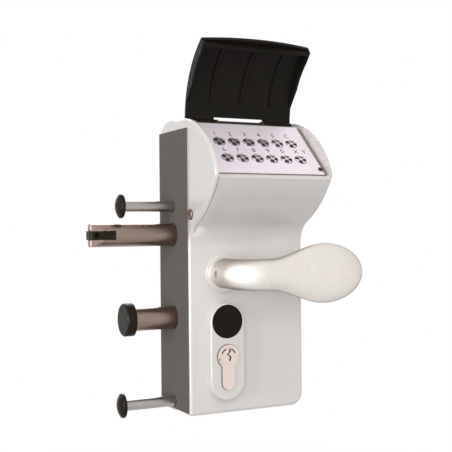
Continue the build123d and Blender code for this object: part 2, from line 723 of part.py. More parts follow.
def plate_screw():
    """Small round headed screw at the corner of the plate."""
    x, row = plate_screw_place()
    height = PLATE_SCREW_HEAD_HEIGHT
    shank = keypad_rod(x, row, (-PLATE_THICKNESS - COVER_WALL, height / 2), PLATE_SCREW_DIAMETER)
    head = keypad_rod(x, row, (0, height), 1.5 * PLATE_SCREW_DIAMETER)
    return shank + head - keypad_rod(x, row, (height / 4, height + PAST), PLATE_SCREW_DIAMETER / 2)


def swing_open(shape):
    """Turn a piece of the lid from shut to open about the hinge pin."""
    return Pos(0, HINGE_Y, HINGE_Z) * Rot(-LID_OPEN, 0, 0) * Pos(0, -HINGE_Y, -HINGE_Z) * shape


def ring_face(outer, inner, start, end):
    """Ring sector about the bulge centre, drawn in (Y, Z)."""
    return Pos(BULGE_CENTRE_Y, BULGE_CENTRE_Z) * ring_sector(outer, inner, start, end)


def above_plate(shape):
    """Cut away what would reach down to the keypad plate."""
    return shape - keypad_box((-BIG, BIG), (-BIG, BIG), (-BIG, LID_PLATE_GAP))


def lid_limits():
    return CHEEK_LEFT + LID_SIDE_GAP, CHEEK_RIGHT - LID_SIDE_GAP


def lid_shell():
    """Curved shell whose free edge bows out in the middle."""
    left, right = lid_limits()
    bow_angle = degrees(LID_BOW / LID_RADIUS)
    whole = ring_face(LID_RADIUS, LID_RADIUS - LID_WALL, LID_START, LID_END + bow_angle)
    shell = side_extrude(whole, (left, right))
    half = (right - left) / 2
    bow_radius = (half**2 + LID_BOW**2) / (2 * LID_BOW)
    end_y, end_z = on_circle(LID_RADIUS - LID_WALL / 2, LID_END + bow_angle / 2)
    edge_plane = Plane(
        origin=((left + right) / 2, end_y, end_z),
        x_dir=(1, 0, 0),
        z_dir=(0, cos(radians(LID_END)), sin(radians(LID_END))),
    )
    keep = edge_plane * Pos(0, bow_radius - LID_BOW / 2, 0) * Cylinder(bow_radius, 2 * LID_RADIUS)
    edge_zone = ring_face(
        LID_RADIUS + PAST,
        LID_RADIUS - LID_WALL - PAST,
        LID_END - 2 * bow_angle,
        LID_END + 2 * bow_angle,
    )
    return shell - (side_extrude(edge_zone, (left, right)) - keep)


def lid():
    """Lid as an open tray: shell, side flanges, end bar, ribs and hinge barrels."""
    left, right = lid_limits()
    shell = lid_shell()
    inner = LID_RADIUS - LID_WALL / 2
    deep = LID_RADIUS - LID_FLANGE_DEPTH
    start = LID_START + LID_BLEND
    flange = ring_face(inner, deep, start, LID_END)
    for x in ((left, left + LID_FLANGE), (right - LID_FLANGE, right)):
        shell += above_plate(side_extrude(flange, x))
    bar_angle = degrees(LID_END_BAR / LID_RADIUS)
    bar = ring_face(inner, deep, LID_END - bar_angle, LID_END - bar_angle / 3)
    shell += above_plate(side_extrude(bar, (left, right)))
    rib = ring_face(inner, LID_RADIUS - LID_WALL - LID_RIB_DEPTH, start, LID_END - LID_BLEND)
    for i in range(LID_RIBS):
        middle = (left + right) / 2 + (i - (LID_RIBS - 1) / 2) * LID_RIB_PITCH
        sides = (middle - LID_RIB_WIDTH / 2, middle + LID_RIB_WIDTH / 2)
        shell += above_plate(side_extrude(rib, sides))
    web = ring_face(LID_RADIUS, LID_RADIUS - LID_WALL, hinge_angle(), start)
    for x in lid_barrels():
        shell += side_extrude(web, x) + rod_x(x, HINGE_Y, HINGE_Z, 2 * HINGE_BARREL)
        bore = (x[0] - PAST, x[1] + PAST)
        shell -= rod_x(bore, HINGE_Y, HINGE_Z, HINGE_PIN + 2 * RUNNING_FIT)
    return swing_open(shell)


def hinge_angle():
    return degrees(atan2(HINGE_Z - BULGE_CENTRE_Z, HINGE_Y - BULGE_CENTRE_Y))


def hinge_ears():
    """Ranges along X of the ears that carry the inner ends of the two pins."""
    return [
        (HINGE_SLOT_START, HINGE_SLOT_START + HINGE_EAR),
        (HINGE_SLOT_END - HINGE_EAR, HINGE_SLOT_END),
    ]


def lid_barrels():
    """Ranges along X of the two barrels of the lid, between the cheeks and the ears."""
    left, right = lid_limits()
    return [(left, HINGE_SLOT_START - FREE_GAP), (HINGE_SLOT_END + FREE_GAP, right)]


def lid_hinge_bracket():
    """Dark strip behind the plate: base, front rail, rear wall and two ears."""
    front, rear, floor = bracket_limits()
    x = (CHEEK_LEFT + SEAT_GAP, CHEEK_RIGHT - SEAT_GAP)
    base = box(x, (front + SEAT_GAP, rear - SEAT_GAP), (floor, floor + BRACKET_BASE))
    rail_end = HINGE_Y - HINGE_BARREL - 1.5 * FREE_GAP
    rail = box(x, (front + SEAT_GAP, rail_end), (floor, COVER_TOP))
    under_lid = 2 * (BULGE_RADIUS - LID_WALL - FREE_GAP)
    bracket = base + (rail & rod_x(x, BULGE_CENTRE_Y, BULGE_CENTRE_Z, under_lid))
    wall_y = (rear - SEAT_GAP - BRACKET_WALL, rear - SEAT_GAP)
    bracket += box(x, wall_y, (floor, COVER_TOP - BRACKET_DROP))
    for ear in hinge_ears():
        bracket += rod_x(ear, HINGE_Y, HINGE_Z, 2 * HINGE_BARREL)
        foot = (HINGE_Y - HINGE_BARREL, HINGE_Y + HINGE_BARREL)
        bracket += box(ear, foot, (floor, HINGE_Z))
        bracket -= rod_x((ear[0] - PAST, ear[1] + PAST), HINGE_Y, HINGE_Z, HINGE_PIN)
    return bracket


def hinge_pins():
    """Two pins, each from an ear through a barrel into the cheek."""
    ears = hinge_ears()
    pins = rod_x((CHEEK_LEFT - HINGE_PIN_SEAT, ears[0][1]), HINGE_Y, HINGE_Z, HINGE_PIN)
    return pins + rod_x((ears[1][0], CHEEK_RIGHT + HINGE_PIN_SEAT), HINGE_Y, HINGE_Z, HINGE_PIN)


def grip_section(x, y, height, depth, turn=0.0):
    """Oval section of the lever; turn 0 faces along X, turn 90 faces out of the lock."""
    angle = radians(turn)
    plane = Plane(origin=(x, y, HANDLE_Z), x_dir=(0, 0, 1), z_dir=(cos(angle), -sin(angle), 0))
    return plane * Ellipse(height / 2, depth / 2)


def front_handle():
    """Lever: round neck, elbow and a grip that widens into an oval paddle."""
    turn_x = BACKSET + ELBOW_RADIUS
    turn_y = -LEVER_PLANE + ELBOW_RADIUS
    neck = rod_y((turn_y, -COVER_DEPTH + BUSH_DEPTH / 2), BACKSET, HANDLE_Z, NECK_DIAMETER)
    elbow = []
    for step in range(ELBOW_STEPS + 1):
        share = step / ELBOW_STEPS
        turn = 90 * (1 - share)
        x = turn_x - ELBOW_RADIUS * sin(radians(turn))
        y = turn_y - ELBOW_RADIUS * cos(radians(turn))
        height = NECK_DIAMETER + (LEVER_NECK_HEIGHT - NECK_DIAMETER) * share
        depth = NECK_DIAMETER + (LEVER_NECK_DEPTH - NECK_DIAMETER) * share
        elbow.append(grip_section(x, y, height, depth, turn))
    grip = []
    for step in range(PADDLE_STEPS + 1):
        share = step / PADDLE_STEPS
        swell = share**2 * (3 - 2 * share)
        height = LEVER_NECK_HEIGHT + (PADDLE_HEIGHT - LEVER_NECK_HEIGHT) * swell
        depth = LEVER_NECK_DEPTH + (PADDLE_DEPTH - LEVER_NECK_DEPTH) * share
        x = turn_x + (PADDLE_X - turn_x) * share
        grip.append(grip_section(x, -LEVER_PLANE, height, depth))
    for angle in TIP_ANGLES:
        share = cos(radians(angle))
        x = PADDLE_X + PADDLE_TIP * sin(radians(angle))
        grip.append(grip_section(x, -LEVER_PLANE, PADDLE_HEIGHT * share, PADDLE_DEPTH * share))
    grip.append(Vertex(PADDLE_X + PADDLE_TIP, -LEVER_PLANE, HANDLE_Z))
    lever = neck + loft(elbow) + loft(grip)
    side = SPINDLE / 2 + RUNNING_FIT
    socket = box(
        (BACKSET - side, BACKSET + side),
        (-SPINDLE_HALF - FREE_GAP, 0),
        (HANDLE_Z - side, HANDLE_Z + side),
    )
    grub_hole = rod_x((BACKSET - NECK_DIAMETER, BACKSET), -GRUB_Y, HANDLE_Z, GRUB_DIAMETER)
    return lever - socket - grub_hole


def handle_grub_screws():
    inner = BACKSET - SPINDLE / 2
    x = (inner - GRUB_LENGTH, inner)
    screws = Part()
    for y in (-GRUB_Y, GRUB_Y):
        socket = rod_x((x[0] - PAST, x[0] + GRUB_LENGTH / 2), y, HANDLE_Z, GRUB_DIAMETER / 2)
        screws += rod_x(x, y, HANDLE_Z, GRUB_DIAMETER) - socket
    return screws


def front_handle_bush():
    start = -COVER_DEPTH - BUSH_PROUD
    y = (start, start + BUSH_DEPTH)
    ring = rod_y(y, BACKSET, HANDLE_Z, BUSH_DIAMETER)
    ring = fillet(ring.faces().sort_by(Axis.Y)[0].edges(), BUSH_EDGE)
    bore = (y[0] - PAST, y[1] + PAST)
    return ring - rod_y(bore, BACKSET, HANDLE_Z, NECK_DIAMETER + 2 * RUNNING_FIT)


def spindle():
    half = SPINDLE / 2
    return box(
        (BACKSET - half, BACKSET + half),
        (-SPINDLE_HALF, SPINDLE_HALF),
        (HANDLE_Z - half, HANDLE_Z + half),
    )


def follower_hub():
    """Hub on the spindle, with the arm that draws the latch."""
    hub = rod_y((-HUB_HALF, HUB_HALF), BACKSET, HANDLE_Z, HUB_DIAMETER)
    half = HUB_ARM_THICKNESS / 2
    arm_y = (-half, half)
    hub += box(
        (BACKSET - HUB_ARM_WIDTH / 2, BACKSET + HUB_ARM_WIDTH / 2),
        arm_y,
        (HANDLE_Z, LATCH_Z),
    )
    hub += rod_y(arm_y, BACKSET, LATCH_Z, HUB_ARM_WIDTH)
    side = SPINDLE / 2
    hub -= box(
        (BACKSET - side, BACKSET + side),
        (-HUB_HALF - PAST, HUB_HALF + PAST),
        (HANDLE_Z - side, HANDLE_Z + side),
    )
    return hub


def latch_bolt():
    """Round bar with a fork cut in its outer end and a bevel on each side of the nose."""
    bar = rod_x((LATCH_TIP_X, LATCH_TAIL_X), 0, LATCH_Z, LATCH_DIAMETER)
    slot_end = LATCH_TIP_X + FORK_DEPTH
    bar -= box(
        (LATCH_TIP_X - PAST, slot_end),
        (-LATCH_DIAMETER, LATCH_DIAMETER),
        (LATCH_Z - FORK_SLOT / 2, LATCH_Z + FORK_SLOT / 2),
    )
    bar -= tail_box(LATCH_TAIL_X - TAIL_SINK, LATCH_TAIL_X + PAST)
    reach = LATCH_DIAMETER
    for side in (-1, 1):
        corners = [
            (LATCH_TIP_X, side * FORK_NOSE_HALF),
            (LATCH_TIP_X + FORK_BEVEL, side * LATCH_DIAMETER / 2),
            (LATCH_TIP_X + FORK_BEVEL, side * reach),
            (LATCH_TIP_X - PAST, side * reach),
            (LATCH_TIP_X - PAST, side * FORK_NOSE_HALF),
        ]
        bevel = extrude(make_face(Polyline(corners, close=True)), amount=reach, both=True)
        bar -= Pos(0, 0, LATCH_Z) * bevel
    bar -= rod_z((LATCH_Z - reach, LATCH_Z + reach), pin_x(), 0, INSERT_PIN)
    tip = [e for e in bar.edges() if e.bounding_box().max.X < LATCH_TIP_X + 0.01]
    return fillet(tip, JAW_EDGE)


def tail_box(start, end):
    return box(
        (start, end),
        (TAIL_Y, TAIL_Y + TAIL_THICKNESS),
        (LATCH_Z - TAIL_HEIGHT / 2, LATCH_Z + TAIL_HEIGHT / 2),
    )


def pin_x():
    """Place of the pin that holds the insert in the fork."""
    return LATCH_TIP_X + FORK_DEPTH - INSERT_PIN_FROM_ROOT


def latch_insert():
    """Dark low friction block in the fork, rounded at its nose, with a blind hole each side."""
    start = LATCH_TIP_X - INSERT_PROUD
    half = FORK_SLOT / 2 - SEAT_GAP
    block = box(
        (start, start + INSERT_LENGTH),
        (-INSERT_HALF_DEPTH, INSERT_HALF_DEPTH),
        (LATCH_Z - half, LATCH_Z + half),
    )
    nose = [
        e
        for e in block.edges().filter_by(Axis.Z)
        if e.center().X < start + 0.01
    ]
    block = fillet(nose, INSERT_NOSE_RADIUS)
    block -= rod_z((LATCH_Z - FORK_SLOT, LATCH_Z + FORK_SLOT), pin_x(), 0, INSERT_PIN)
    for side in (-1, 1):
        y = sorted((side * INSERT_HALF_DEPTH / 2, side * (INSERT_HALF_DEPTH + PAST)))
        block -= rod_y(tuple(y), start + INSERT_HOLE_FROM_NOSE, LATCH_Z, INSERT_HOLE)
    return block


def latch_insert_pin():
    half = LATCH_DIAMETER / 2 - JAW_EDGE
    return rod_z((LATCH_Z - half, LATCH_Z + half), pin_x(), 0, INSERT_PIN)


def latch_tail():
    """Flat tail behind the latch, with the lug that the hub's arm pushes."""
    face = BACKSET + HUB_ARM_WIDTH / 2 + FREE_GAP
    tail = tail_box(LATCH_TAIL_X - TAIL_SINK, TAIL_END_X)
    return tail + box(
        (face, face + LUG_THICKNESS),
        (-HUB_ARM_THICKNESS / 2, TAIL_Y + TAIL_THICKNESS),
        (LATCH_Z - TAIL_HEIGHT / 2 - LUG_DROP, LATCH_Z + TAIL_HEIGHT / 2),
    )


def latch_spring():
    """Space that the latch spring fills between the tail and the case."""
    x = (TAIL_END_X, CASE_WIDTH - CASE_WALL)
    y = CASE_INNER - SPRING_OUTER / 2 - FREE_GAP
    sleeve = rod_x(x, y, LATCH_Z, SPRING_OUTER)
    return sleeve - rod_x((x[0] - PAST, x[1] + PAST), y, LATCH_Z, SPRING_INNER)


def guide(z, bore):
    """Plastic guide bush in the face of the case, flanged inside."""
    outer = bore + 2 * GUIDE_WALL
    x = (COVER_LEFT, COVER_LEFT + GUIDE_LENGTH)
    flange_x = (COVER_LEFT + CASE_FACE, COVER_LEFT + CASE_FACE + GUIDE_FLANGE)
    body = rod_x(x, 0, z, outer)
    half = outer / 2 + GUIDE_FLANGE_MARGIN
    body += box(flange_x, (-half, half), (z - half, z + half))
    body &= box((0, WIDTH), (-CASE_INNER, CASE_INNER), (-BIG, BIG)) + rod_x(
        (0, COVER_LEFT + CASE_FACE), 0, z, outer
    )
    return body - rod_x((x[0] - PAST, x[1] + PAST), 0, z, bore + 2 * RUNNING_FIT)


def deadbolt():
    """Round bar with a flat tail in the case."""
    nose_end = FAR_SIDE + DEADBOLT_NOSE_LENGTH
    bar_end = COVER_LEFT + GUIDE_LENGTH + DEADBOLT_THROW + 2 * FREE_GAP
    bar = rod_x((nose_end, bar_end), 0, DEADBOLT_Z, DEADBOLT_DIAMETER)
    stub = rod_x((nose_end - DEADBOLT_STUB, nose_end + PAST), 0, DEADBOLT_Z, DEADBOLT_DIAMETER / 2)
    low = CYLINDER_Z + CAM_REACH + 2 * FREE_GAP
    half = DEADBOLT_TAIL_THICKNESS / 2
    tail = box(
        (bar_end - FREE_GAP, DEADBOLT_TAIL_X),
        (-half, half),
        (low, low + DEADBOLT_TAIL_HEIGHT),
    )
    return bar + stub + tail


def deadbolt_nose():
    x = (FAR_SIDE, FAR_SIDE + DEADBOLT_NOSE_LENGTH)
    nose = rod_x(x, 0, DEADBOLT_Z, DEADBOLT_NOSE_DIAMETER)
    nose = chamfer(nose.faces().sort_by(Axis.X)[0].edges(), JAW_EDGE)
    return nose - rod_x((x[1] - DEADBOLT_STUB, x[1] + PAST), 0, DEADBOLT_Z, DEADBOLT_DIAMETER / 2)


def cylinder_body():
    """Double cylinder with a slot for the cam in the middle."""
    body = front_extrude(cylinder_face(), CYLINDER_HALF, 2 * CYLINDER_HALF)
    y = (-CYLINDER_HALF - PAST, CYLINDER_HALF + PAST)
    body -= rod_y(y, BACKSET, CYLINDER_Z, PLUG_DIAMETER + 2 * RUNNING_FIT)
    body -= box(
        (0, WIDTH),
        (-CAM_SLOT / 2, CAM_SLOT / 2),
        (CYLINDER_Z - CAM_REACH - 2 * FREE_GAP, CYLINDER_Z + CYLINDER_DIAMETER),
    )
    angle = radians(PIN_MARK_ANGLE)
    mark_x = BACKSET + PIN_MARK_RADIUS * cos(angle)
    mark_z = CYLINDER_Z + PIN_MARK_RADIUS * sin(angle)
    mark = (-CYLINDER_HALF - PAST, -CYLINDER_HALF + PIN_MARK_DIAMETER)
    body -= rod_y(mark, mark_x, mark_z, PIN_MARK_DIAMETER)
    drop = CYLINDER_Z - CYLINDER_SCREW_DROP
    return body - rod_x((0, BACKSET + CYLINDER_WEB), 0, drop, CYLINDER_SCREW_DIAMETER)


def keyway():
    """Bent slot of the key, drawn in (X, Z) from the plug's axis."""
    half = KEYWAY_WIDTH / 2
    corners = [(x + half, z) for x, z in KEYWAY_BENDS]
    corners += [(x - half, z) for x, z in reversed(KEYWAY_BENDS)]
    face = make_face(Polyline(corners, close=True))
    return Pos(BACKSET, CYLINDER_Z) * face


def plug_front():
    y = (-CYLINDER_HALF - PLUG_PROUD, -CAM_WIDTH / 2)
    plug = rod_y(y, BACKSET, CYLINDER_Z, PLUG_DIAMETER)
    plug -= front_extrude(keyway(), y[0] + KEYWAY_DEPTH, KEYWAY_DEPTH + PAST)
    outer = PLUG_ARC_RADIUS + PLUG_ARC_WIDTH / 2
    for start, end in PLUG_ARCS:
        arc = Pos(BACKSET, CYLINDER_Z) * ring_sector(outer, outer - PLUG_ARC_WIDTH, start, end)
        plug -= front_extrude(arc, y[0] + PLUG_ARC_DEPTH, PLUG_ARC_DEPTH + PAST)
    return plug


def plug_rear():
    """The same plug at the rear, a little short of the cam."""
    y = (-CYLINDER_HALF - PLUG_PROUD, -CAM_SLOT / 2 - FREE_GAP)
    plug = rod_y(y, BACKSET, CYLINDER_Z, PLUG_DIAMETER)
    plug -= front_extrude(keyway(), y[0] + KEYWAY_DEPTH, KEYWAY_DEPTH + PAST)
    return mirror(plug, about=Plane.XZ)


def cylinder_cam():
    """Cam between the two plugs; its lobe hangs down at rest."""
    y = (-CAM_WIDTH / 2, CAM_WIDTH / 2)
    cam = rod_y(y, BACKSET, CYLINDER_Z, CYLINDER_DIAMETER - 2 * FREE_GAP)
    lobe = box(
        (BACKSET - CAM_LOBE / 2, BACKSET + CAM_LOBE / 2),
        y,
        (CYLINDER_Z - CAM_REACH, CYLINDER_Z),
    )
    return cam + (lobe & rod_y(y, BACKSET, CYLINDER_Z, 2 * CAM_REACH))


def cylinder_screw():
    z = CYLINDER_Z - CYLINDER_SCREW_DROP
    screw = rod_x((COVER_LEFT, BACKSET + CYLINDER_WEB / 2), 0, z, CYLINDER_SCREW_DIAMETER)
    head = rod_x((COVER_LEFT, COVER_LEFT + SCREW_HEAD_HEIGHT / 2), 0, z, 1.8 * CYLINDER_SCREW_DIAMETER)
    return screw + head


def front_blank_plug():
    """Push in disc that closes the round hole above the cylinder."""
    face_y = -COVER_DEPTH - BOSS_HEIGHT
    disc = rod_y((face_y, face_y + BLANK_THICKNESS), BACKSET, BLANK_Z, BLANK_DIAMETER)
    disc = fillet(disc.faces().sort_by(Axis.Y)[0].edges(), BLANK_EDGE)
    skirt_y = (face_y + 2 * BLANK_EDGE, -COVER_DEPTH + BLANK_RIM)
    skirt = rod_y(skirt_y, BACKSET, BLANK_Z, BLANK_DIAMETER)
    inner = BLANK_DIAMETER - 2 * BLANK_SKIRT
    hollow = rod_y((face_y + BLANK_THICKNESS, 0), BACKSET, BLANK_Z, inner)
    return disc + skirt - hollow


def fixing_bolts():
    bolts = Part()
    for z in (-BOLT_Z, BOLT_Z):
        bolts += rod_x((FAR_SIDE, 0), 0, z, BOLT_DIAMETER)
        bolts += rod_x((-PAST, BOLT_END_X), 0, z, BOLT_THREAD_DIAMETER)
        head_x = (FAR_SIDE - BOLT_HEAD_HEIGHT, FAR_SIDE)
        bolts += rod_x(head_x, 0, z, BOLT_HEAD_DIAMETER)
    return bolts


def bolt_caps():
    """Domed caps pushed over the heads of the fixing bolts."""
    caps = Part()
    for z in (-BOLT_Z, BOLT_Z):
        rim = rod_x((FAR_SIDE - CAP_EDGE, FAR_SIDE), 0, z, CAP_DIAMETER)
        rise = CAP_HEIGHT - CAP_EDGE
        radius = (CAP_DIAMETER**2 / 4 + rise**2) / (2 * rise)
        centre = FAR_SIDE - CAP_HEIGHT + radius
        dome = Pos(centre, 0, z) * Sphere(radius)
        dome &= rod_x((FAR_SIDE - CAP_HEIGHT - PAST, FAR_SIDE - CAP_EDGE), 0, z, CAP_DIAMETER)
        pocket = rod_x((FAR_SIDE - BOLT_HEAD_HEIGHT, FAR_SIDE + PAST), 0, z, BOLT_HEAD_DIAMETER)
        caps += rim + dome - pocket
    return caps


def cover_screws():
    """Pan head screws put in from the rear, through the rear cover's posts."""
    screws = Part()
    seat = COVER_DEPTH - SCREW_HEAD_HEIGHT
    for x, z in cover_screw_places():
        screws += rod_y((-COVER_POST_TOP_FRONT + COVER_WALL, seat), x, z, SCREW_DIAMETER)
        head = rod_y((seat, COVER_DEPTH - FREE_GAP), x, z, SCREW_HEAD_DIAMETER)
        socket = rod_y((seat + SCREW_HEAD_HEIGHT / 3, COVER_DEPTH + PAST), x, z, SCREW_DIAMETER / 2)
        screws += head - socket
    return screws


def cross_recess(x):
    """Cross for the driver in a side screw's head."""
    long, short = CROSS_LENGTH / 2, CROSS_WIDTH / 2
    y, z = SIDE_SCREW_Y, SIDE_SCREW_Z
    level = box(x, (y - long, y + long), (z - short, z + short))
    return level + box(x, (y - short, y + short), (z - long, z + long))


def side_screws():
    """One screw through each side wall of the bulge into the keypad's legs."""
    screws = Part()
    inner = COVER_WALL + CHASSIS_LEG
    sides = ((COVER_LEFT, 1), (WIDTH, -1))
    for x, way in sides:
        outer = x - way * SIDE_SCREW_HEAD_HEIGHT
        shank = rod_x(sorted((x, x + way * inner)), SIDE_SCREW_Y, SIDE_SCREW_Z, SCREW_DIAMETER)
        head = rod_x(sorted((outer, x)), SIDE_SCREW_Y, SIDE_SCREW_Z, SIDE_SCREW_HEAD)
        outer_face = head.faces().sort_by(Axis.X)[0 if way > 0 else -1]
        head = fillet(outer_face.edges(), SIDE_SCREW_HEAD_HEIGHT / 2)
        screws += shank + head - cross_recess(sorted((outer - way * PAST, outer + way * CROSS_DEPTH)))
    return screws


def mirrored(shape):
    return mirror(shape, about=Plane.XZ)


def collect():
    """Every node by name."""
    handle = front_handle()
    parts["lock_case"] = lock_case()
    parts["case_cover"] = case_cover()
    parts["front_cover"] = front_cover()
    parts["rear_cover"] = rear_cover()
    parts["mounting_gasket"] = mounting_gasket()
    parts["keypad_plate"] = keypad_plate()
    parts["keypad_chassis"] = keypad_chassis()
    for number, (x, row) in enumerate(key_places(), start=1):
        parts[f"button_{number}"] = key_button(x, row)
    parts["button_springs"] = button_springs()
    parts["plate_screw"] = plate_screw()
    parts["lid"] = lid()
    parts["lid_hinge_bracket"] = lid_hinge_bracket()
    parts["lid_hinge_pins"] = hinge_pins()
    parts["front_handle"] = handle
    parts["rear_handle"] = mirrored(handle)
    parts["handle_grub_screws"] = handle_grub_screws()
    parts["front_handle_bush"] = front_handle_bush()
    parts["rear_handle_bush"] = mirrored(front_handle_bush())
    parts["spindle"] = spindle()
    parts["follower_hub"] = follower_hub()
    parts["latch_bolt"] = latch_bolt()
    parts["latch_insert"] = latch_insert()
    parts["latch_insert_pin"] = latch_insert_pin()
    parts["latch_tail"] = latch_tail()
    parts["latch_spring"] = latch_spring()
    parts["latch_guide"] = guide(LATCH_Z, LATCH_DIAMETER)
    parts["deadbolt"] = deadbolt()
    parts["deadbolt_nose"] = deadbolt_nose()
    parts["deadbolt_guide"] = guide(DEADBOLT_Z, DEADBOLT_DIAMETER)
    parts["cylinder_body"] = cylinder_body()
    parts["cylinder_plug_front"] = plug_front()
    parts["cylinder_plug_rear"] = plug_rear()
    parts["cylinder_cam"] = cylinder_cam()
    parts["cylinder_screw"] = cylinder_screw()
    parts["front_blank_plug"] = front_blank_plug()
    parts["rear_blank_plug"] = mirrored(front_blank_plug())
    parts["fixing_bolts"] = fixing_bolts()
    parts["bolt_caps"] = bolt_caps()
    parts["cover_screws"] = cover_screws()
    parts["side_screws"] = side_screws()


collect()
os.makedirs("parts", exist_ok=True)
for name, shape in parts.items():
    export_step(shape, f"parts/{name}.step")
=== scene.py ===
import json
import math

import bmesh
import bpy
from mathutils import Matrix, Vector


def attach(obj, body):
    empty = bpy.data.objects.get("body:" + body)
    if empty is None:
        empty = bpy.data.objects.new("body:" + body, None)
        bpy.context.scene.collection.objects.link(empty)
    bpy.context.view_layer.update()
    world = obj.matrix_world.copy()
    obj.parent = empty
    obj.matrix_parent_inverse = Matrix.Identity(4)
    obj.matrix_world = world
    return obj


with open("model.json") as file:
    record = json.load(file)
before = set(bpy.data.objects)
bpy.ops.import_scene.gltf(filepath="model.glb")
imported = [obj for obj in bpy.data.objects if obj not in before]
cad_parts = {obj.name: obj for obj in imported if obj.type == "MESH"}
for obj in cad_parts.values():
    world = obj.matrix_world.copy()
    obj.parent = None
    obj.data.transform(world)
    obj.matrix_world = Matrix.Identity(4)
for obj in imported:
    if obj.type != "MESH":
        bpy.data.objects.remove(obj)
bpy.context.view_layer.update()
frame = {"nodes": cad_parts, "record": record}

# The lock's dressed model: finishes for its solid parts, the marks on the keypad, lamps and camera

MM = 0.001
X_AXIS = Vector((1, 0, 0))
Y_AXIS = Vector((0, 1, 0))

# The photograph's camera, in the lock's frame
CAMERA_PLACE = Vector((-258.1, -606.8, 55.9)) * MM
CAMERA_TURN = math.radians(26.51)
CAMERA_PITCH = math.radians(-0.14)
CAMERA_ROLL = math.radians(-0.53)
CAMERA_LENS = 70.12
CAMERA_SENSOR = 36.0
CAMERA_NEAR = 10 * MM

# Lamps and surroundings, in metres
AMBIENT = 0.45  # the backdrop's strength as light; where it is seen it is 1
LAMPS = (
    # name, place, aim, width, height, watts, if it lights matt surfaces, if it lights glossy ones
    ("key", (-1.56, -0.5, 0.12), (0.02, 0, 0.03), 0.5, 0.7, 9.5, True, False),
    ("shine", (-1.56, -0.62, 0.15), (0.02, 0, 0.03), 0.5, 0.9, 31.0, False, True),
    ("rim", (-1.6, 0.1, 0.2), (0.02, 0, 0.03), 0.6, 0.9, 8.0, False, True),
    ("front", (-0.55, -1.75, 0.45), (0.05, 0, 0.03), 2.2, 1.8, 21.5, True, False),
    ("top", (0.1, -0.9, 1.5), (0.05, 0, 0.05), 1.2, 1.2, 4.0, True, False),
    ("back", (0.4, 1.5, 0.9), (0.05, 0, 0.05), 1.2, 0.9, 12.0, True, True),
)
FLOOR_Z = -0.3
FLOOR_SIZE = 14.0
FLOOR_BOUNCE = (0.47, 0.47, 0.47, 1)  # the floor's colour for the light that it sends back
FLOOR_SEEN = (0.93, 0.93, 0.93, 1)
FLOOR_NEAR = 0.5  # out to this distance the floor shows the lamps' light alone
FLOOR_FAR = 0.8  # from here on it is as white as the backdrop

# Keypad
KEYPAD_TILT = math.radians(43.7)
PLATE_OUT = Vector((0, -math.sin(KEYPAD_TILT), math.cos(KEYPAD_TILT)))
PLATE_UP = Vector((0, math.cos(KEYPAD_TILT), math.sin(KEYPAD_TILT)))
PLATE_BEND_SHADE = 2.0 * MM  # width of the painted shade that stands in for a bend along the plate's right side
PLATE_BEND_SHADE_BLUR = 0.2 * MM
PLATE_GAP_SHADE = (0.7 * MM, 0.4 * MM)  # in from the right side: where the painted shade next to the cheek starts, and is full
PLATE_FOOT = (0.1 * MM, 0.3 * MM)  # up from the foot: how far its dark edge is full, and where it ends
PLATE_SKIN = (0.8 * MM, 0.6 * MM)  # below the top face: where the foot's dark edge is full, and ends
KEY_SHADE_DEPTHS = (-0.05 * MM, 0.25 * MM)  # above the plate: up to where a key is painted dark as shade, and from where bright
MARK_SIZE = 5.9 * MM
MARK_HEIGHT = 0.05 * MM
MARK_ROWS = (
    # place up the slope in millimetres, then each mark with its place across
    (43.1, (("1", 17.1), ("2", 29.3), ("3", 41.2), ("4", 53.0), ("5", 64.7), ("C", 76.5))),
    (24.9, (("6", 18.0), ("7", 29.1), ("8", 41.8), ("9", 53.6), ("0", 65.3), ("X", 77.0), ("Y", 83.9))),
)

# Key cylinder's painted shade in its key slot, measured in from its end faces
CYLINDER_SHADE_TOP = (0.3 * MM, 0.1 * MM)  # from where it is painted dark as shade, and up to where it is bright
CYLINDER_SHADE_BOTTOM = (5 * MM, 4 * MM)  # from where no shade is painted, and up to where all of it is

# Satin lever
LEVER_GRAIN = (1.0 * MM, 1.0 * MM, 2.2 * MM)  # size of the grain along X, Y and Z
LEVER_SHADE_EDGE = 2.2  # how closely the painted grey shade keeps to the lever's outline
LEVER_GLOSS = (0.5, 0.47, 0.45, 1)  # tint of what it reflects at a grazing angle

# The levels of noise that are stretched over a range
NOISE_LOW = 0.3
NOISE_HIGH = 0.7


def srgb(red, green, blue):
    """A colour in linear light, from the levels 0 to 255 that a screen shows it with."""
    def linear(level):
        share = level / 255
        return share / 12.92 if share <= 0.04045 else ((share + 0.055) / 1.055) ** 2.4

    return linear(red), linear(green), linear(blue), 1.0


